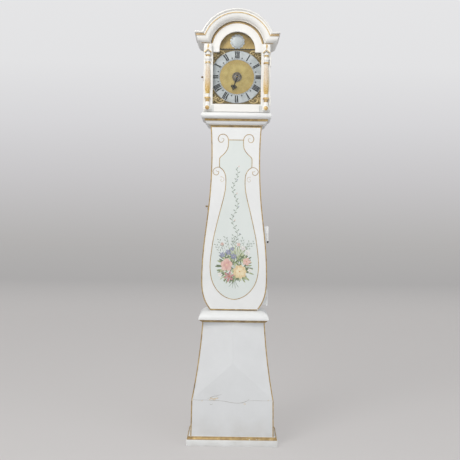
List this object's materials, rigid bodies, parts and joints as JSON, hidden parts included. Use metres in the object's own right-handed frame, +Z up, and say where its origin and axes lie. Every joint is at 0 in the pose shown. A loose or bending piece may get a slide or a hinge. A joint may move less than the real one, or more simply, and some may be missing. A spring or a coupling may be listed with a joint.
{
  "type": "longcase clock",
  "caption": "Free-standing round-bellied longcase clock with an arched glazed hood door, a full-front trunk door, a brass dial and a weight-driven pendulum movement.",
  "frame": {"origin": "on the floor, under the middle of the case's footprint", "axes": "+Z up along the case's height, front (dial) towards -Y, +X to the right of someone facing the dial"},
  "size_m": [0.45, 0.256, 2.1555],
  "materials": {
    "white_paint": "aged distemper white paint on pine",
    "bare_pine": "unpainted pine",
    "brass": "old lacquered brass",
    "matted_brass": "matted brass dial",
    "silvered_brass": "silvered brass",
    "iron": "blackened iron",
    "steel": "polished steel",
    "painted_iron": "iron hinges painted with the case",
    "lead": "cast iron weight",
    "glass": "thin old window glass",
    "line": "twisted hemp line"
  },
  "bodies": {
    "case": {"foot_moulding": "white_paint", "plinth_front": "white_paint", "plinth_left": "white_paint", "plinth_right": "white_paint", "floor_board": "bare_pine", "base_front": "white_paint", "base_left": "white_paint", "base_right": "white_paint", "shoulder_moulding": "white_paint", "trunk_left_side": "white_paint", "trunk_right_side": "white_paint", "backboard": "bare_pine", "throat_moulding": "white_paint", "trunk_hinge_leaves": "painted_iron", "seat_board": "bare_pine", "front_plate": "brass", "back_plate": "brass", "pillars": "brass", "pendulum_cock": "brass", "bell": "brass", "bell_stand": "steel", "dial_plate": "matted_brass", "arch_plate": "brass", "chapter_ring": "silvered_brass", "arch_plaque": "silvered_brass", "spandrels": "brass"},
    "hood": {"hood_front_frame": "white_paint", "hood_left_side": "white_paint", "hood_right_side": "white_paint", "hood_roof": "white_paint", "cornice_ears": "white_paint", "cornice_arch": "white_paint", "hood_hinge_leaves": "painted_iron"},
    "hood_door": {"hood_door": "white_paint", "hood_glass": "glass", "left_column": "white_paint", "right_column": "white_paint", "hood_door_leaves": "painted_iron", "hood_hook_pin": "iron"},
    "hood_hook": {"hood_hook": "iron"},
    "trunk_door": {"trunk_door": "white_paint", "trunk_door_leaves": "painted_iron", "trunk_hook_pin": "iron"},
    "trunk_hook": {"trunk_hook": "iron"},
    "great_wheel": {"great_wheel": "brass", "great_arbor": "steel"},
    "second_wheel": {"second_wheel": "brass"},
    "escape_wheel": {"escape_wheel": "brass"},
    "anchor": {"anchor": "steel", "crutch": "steel"},
    "pendulum": {"pendulum_rod": "steel", "pendulum_bob": "brass", "rating_nut": "brass"},
    "hour_wheel": {"hour_wheel": "brass", "hour_hand": "iron"},
    "alarm_disc": {"alarm_disc": "iron"},
    "alarm_hammer": {"alarm_hammer": "steel"},
    "weight": {"weight": "lead", "weight_line": "line"},
    "weight_pulley": {"weight_pulley": "brass"}
  },
  "joints": [
    {"name": "hood_slide", "type": "slide", "parent": "case", "child": "hood", "axis": [0, -1, 0], "range_m": [0, 0.26]},
    {"name": "hood_door_hinge", "type": "hinge", "parent": "hood", "child": "hood_door", "pos_m": [0.166, -0.094, 1.8], "axis": [0, 0, 1], "range_deg": [0, 100]},
    {"name": "hood_hook_pivot", "type": "hinge", "parent": "hood", "child": "hood_hook", "pos_m": [-0.1675, -0.049, 1.826], "axis": [-1, 0, 0], "range_deg": [0, 90]},
    {"name": "trunk_door_hinge", "type": "hinge", "parent": "case", "child": "trunk_door", "pos_m": [0.16627, -0.037, 1.1], "axis": [0, 0, 1], "range_deg": [0, 100]},
    {"name": "trunk_hook_pivot", "type": "hinge", "parent": "case", "child": "trunk_hook", "pos_m": [-0.136, -0.024, 1.18], "axis": [-1, 0, 0], "range_deg": [0, 90]},
    {"name": "great_wheel_spin", "type": "hinge", "parent": "case", "child": "great_wheel", "pos_m": [0, 0.005, 1.7795], "axis": [0, -1, 0], "continuous": true},
    {"name": "second_wheel_spin", "type": "hinge", "parent": "case", "child": "second_wheel", "pos_m": [0, 0.005, 1.8371], "axis": [0, -1, 0], "continuous": true},
    {"name": "escape_wheel_spin", "type": "hinge", "parent": "case", "child": "escape_wheel", "pos_m": [0, 0.005, 1.88], "axis": [0, -1, 0], "continuous": true},
    {"name": "hour_wheel_spin", "type": "hinge", "parent": "case", "child": "hour_wheel", "pos_m": [0, -0.04, 1.829], "axis": [0, -1, 0], "continuous": true},
    {"name": "pendulum_swing", "type": "hinge", "parent": "case", "child": "pendulum", "pos_m": [0, 0.068, 1.915], "axis": [0, -1, 0], "range_deg": [-3.5, 3.5]},
    {"name": "anchor_rock", "type": "hinge", "parent": "case", "child": "anchor", "pos_m": [0, 0.005, 1.915], "axis": [0, -1, 0], "range_deg": [-3.5, 3.5]},
    {"name": "alarm_disc_set", "type": "hinge", "parent": "hour_wheel", "child": "alarm_disc", "pos_m": [0, -0.05, 1.829], "axis": [0, -1, 0], "continuous": true},
    {"name": "alarm_hammer_swing", "type": "hinge", "parent": "case", "child": "alarm_hammer", "pos_m": [0.05, 0.005, 1.925], "axis": [0, -1, 0], "range_deg": [0, 6]},
    {"name": "weight_travel", "type": "slide", "parent": "case", "child": "weight", "axis": [0, 0, 1], "range_m": [0, 0.68], "deforming": ["weight_line"]},
    {"name": "weight_pulley_spin", "type": "hinge", "parent": "weight", "child": "weight_pulley", "pos_m": [-0.042, 0.004, 0.915], "axis": [0, -1, 0], "continuous": true}
  ],
  "couplings": [
    {"joint": "second_wheel_spin", "follows": "great_wheel_spin", "ratio": -15},
    {"joint": "escape_wheel_spin", "follows": "great_wheel_spin", "ratio": 180},
    {"joint": "hour_wheel_spin", "follows": "great_wheel_spin", "ratio": -0.25},
    {"joint": "anchor_rock", "follows": "pendulum_swing", "ratio": 1}
  ]
}
